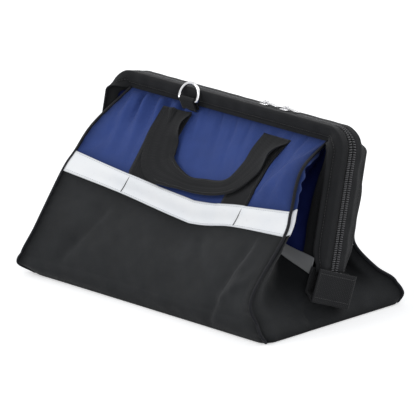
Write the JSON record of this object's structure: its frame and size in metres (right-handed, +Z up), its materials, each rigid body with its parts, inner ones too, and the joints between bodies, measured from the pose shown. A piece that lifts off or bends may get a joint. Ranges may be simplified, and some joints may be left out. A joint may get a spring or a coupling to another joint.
{
  "type": "tool bag",
  "caption": "Soft gate-mouth tool bag on a stiff base, with hinged steel jaws in cloth sleeves, a zip along them, webbing handles and D-rings.",
  "frame": {"origin": "centre of the flat bottom, on the surface the bag stands on", "axes": "+X along the bag to its right end, -Y to the front panel, +Z up"},
  "size_m": [0.4168, 0.2586, 0.2465],
  "materials": {
    "black_cloth": "matt woven polyester",
    "blue_cloth": "matt woven polyester",
    "white_tape": "smooth woven trim",
    "black_webbing": "ribbed webbing",
    "black_piping": "satin bound piping",
    "zip_coil": "satin nylon",
    "steel": "zinc plated",
    "chrome": "polished plating",
    "board": "matt"
  },
  "bodies": {
    "bag": {"bottom_panel": "black_cloth", "base_board": "board", "front_lower_panel": "black_cloth", "back_lower_panel": "black_cloth", "left_lower_gusset": "black_cloth", "right_lower_gusset": "black_cloth", "front_band": "white_tape", "back_band": "white_tape", "left_front_gusset_band": "white_tape", "left_back_gusset_band": "white_tape", "right_front_gusset_band": "white_tape", "right_back_gusset_band": "white_tape", "front_upper_panel": "blue_cloth", "back_upper_panel": "blue_cloth", "left_front_gusset_flap": "blue_cloth", "left_back_gusset_flap": "blue_cloth", "right_front_gusset_flap": "blue_cloth", "right_back_gusset_flap": "blue_cloth", "left_front_piping": "black_piping", "left_back_piping": "black_piping", "right_front_piping": "black_piping", "right_back_piping": "black_piping", "front_handle_left_leg": "black_webbing", "front_handle_right_leg": "black_webbing", "back_handle_left_leg": "black_webbing", "back_handle_right_leg": "black_webbing", "left_hinge_rivet": "steel", "right_hinge_rivet": "steel", "left_end_cover": "black_webbing", "right_end_cover": "black_webbing"},
    "front_jaw": {"front_frame": "steel", "front_sleeve": "black_webbing", "front_zip_tape": "black_webbing", "front_zip_coil": "zip_coil", "front_ring_tab": "black_webbing"},
    "back_jaw": {"back_frame": "steel", "back_sleeve": "black_webbing", "back_zip_tape": "black_webbing", "back_zip_coil": "zip_coil", "back_ring_tab": "black_webbing"},
    "front_handle": {"front_handle": "black_webbing"},
    "front_ring": {"front_d_ring": "chrome"},
    "back_handle": {"back_handle": "black_webbing"},
    "back_ring": {"back_d_ring": "chrome"},
    "left_slider": {"left_slider": "chrome"},
    "left_pull": {"left_pull": "chrome"},
    "right_slider": {"right_slider": "chrome"},
    "right_pull": {"right_pull": "chrome"}
  },
  "joints": [
    {"name": "front_jaw_hinge", "type": "hinge", "parent": "bag", "child": "front_jaw", "pos_m": [0, -0.003, 0.042], "axis": [1, 0, 0], "range_deg": [0, 50], "deforming": ["front_upper_panel", "left_front_gusset_flap", "right_front_gusset_flap", "left_front_gusset_band", "right_front_gusset_band", "left_front_piping", "right_front_piping", "front_handle_left_leg", "front_handle_right_leg"]},
    {"name": "back_jaw_hinge", "type": "hinge", "parent": "bag", "child": "back_jaw", "pos_m": [0, -0.003, 0.042], "axis": [-1, 0, 0], "range_deg": [0, 45], "deforming": ["back_upper_panel", "left_back_gusset_flap", "right_back_gusset_flap", "left_back_gusset_band", "right_back_gusset_band", "left_back_piping", "right_back_piping", "back_handle_left_leg", "back_handle_right_leg"]},
    {"name": "front_handle_hinge", "type": "hinge", "parent": "front_jaw", "child": "front_handle", "pos_m": [0.00992, 0.00944, 0.2101], "axis": [-1, 0, 0], "range_deg": [0, 115]},
    {"name": "back_handle_hinge", "type": "hinge", "parent": "back_jaw", "child": "back_handle", "pos_m": [0.01005, 0.05525, 0.205], "axis": [1, 0, 0], "range_deg": [0, 112]},
    {"name": "front_ring_hinge", "type": "hinge", "parent": "front_jaw", "child": "front_ring", "pos_m": [-0.06, 0.01186, 0.22493], "axis": [1, 0, 0], "range_deg": [0, 40]},
    {"name": "back_ring_hinge", "type": "hinge", "parent": "back_jaw", "child": "back_ring", "pos_m": [0.14, 0.05783, 0.21516], "axis": [1, 0, 0], "range_deg": [0, 140]},
    {"name": "left_slider_slide", "type": "slide", "parent": "front_jaw", "child": "left_slider", "axis": [1, 0, 0], "range_m": [-0.2, 0]},
    {"name": "right_slider_slide", "type": "slide", "parent": "front_jaw", "child": "right_slider", "axis": [1, 0, 0], "range_m": [0, 0.07]},
    {"name": "left_pull_hinge", "type": "hinge", "parent": "left_slider", "child": "left_pull", "pos_m": [0.047, 0.03884, 0.23883], "axis": [0, -0.9781, 0.2079], "range_deg": [0, 165]},
    {"name": "right_pull_hinge", "type": "hinge", "parent": "right_slider", "child": "right_pull", "pos_m": [0.081, 0.03884, 0.23883], "axis": [0, -0.9781, 0.2079], "range_deg": [0, 165]}
  ]
}
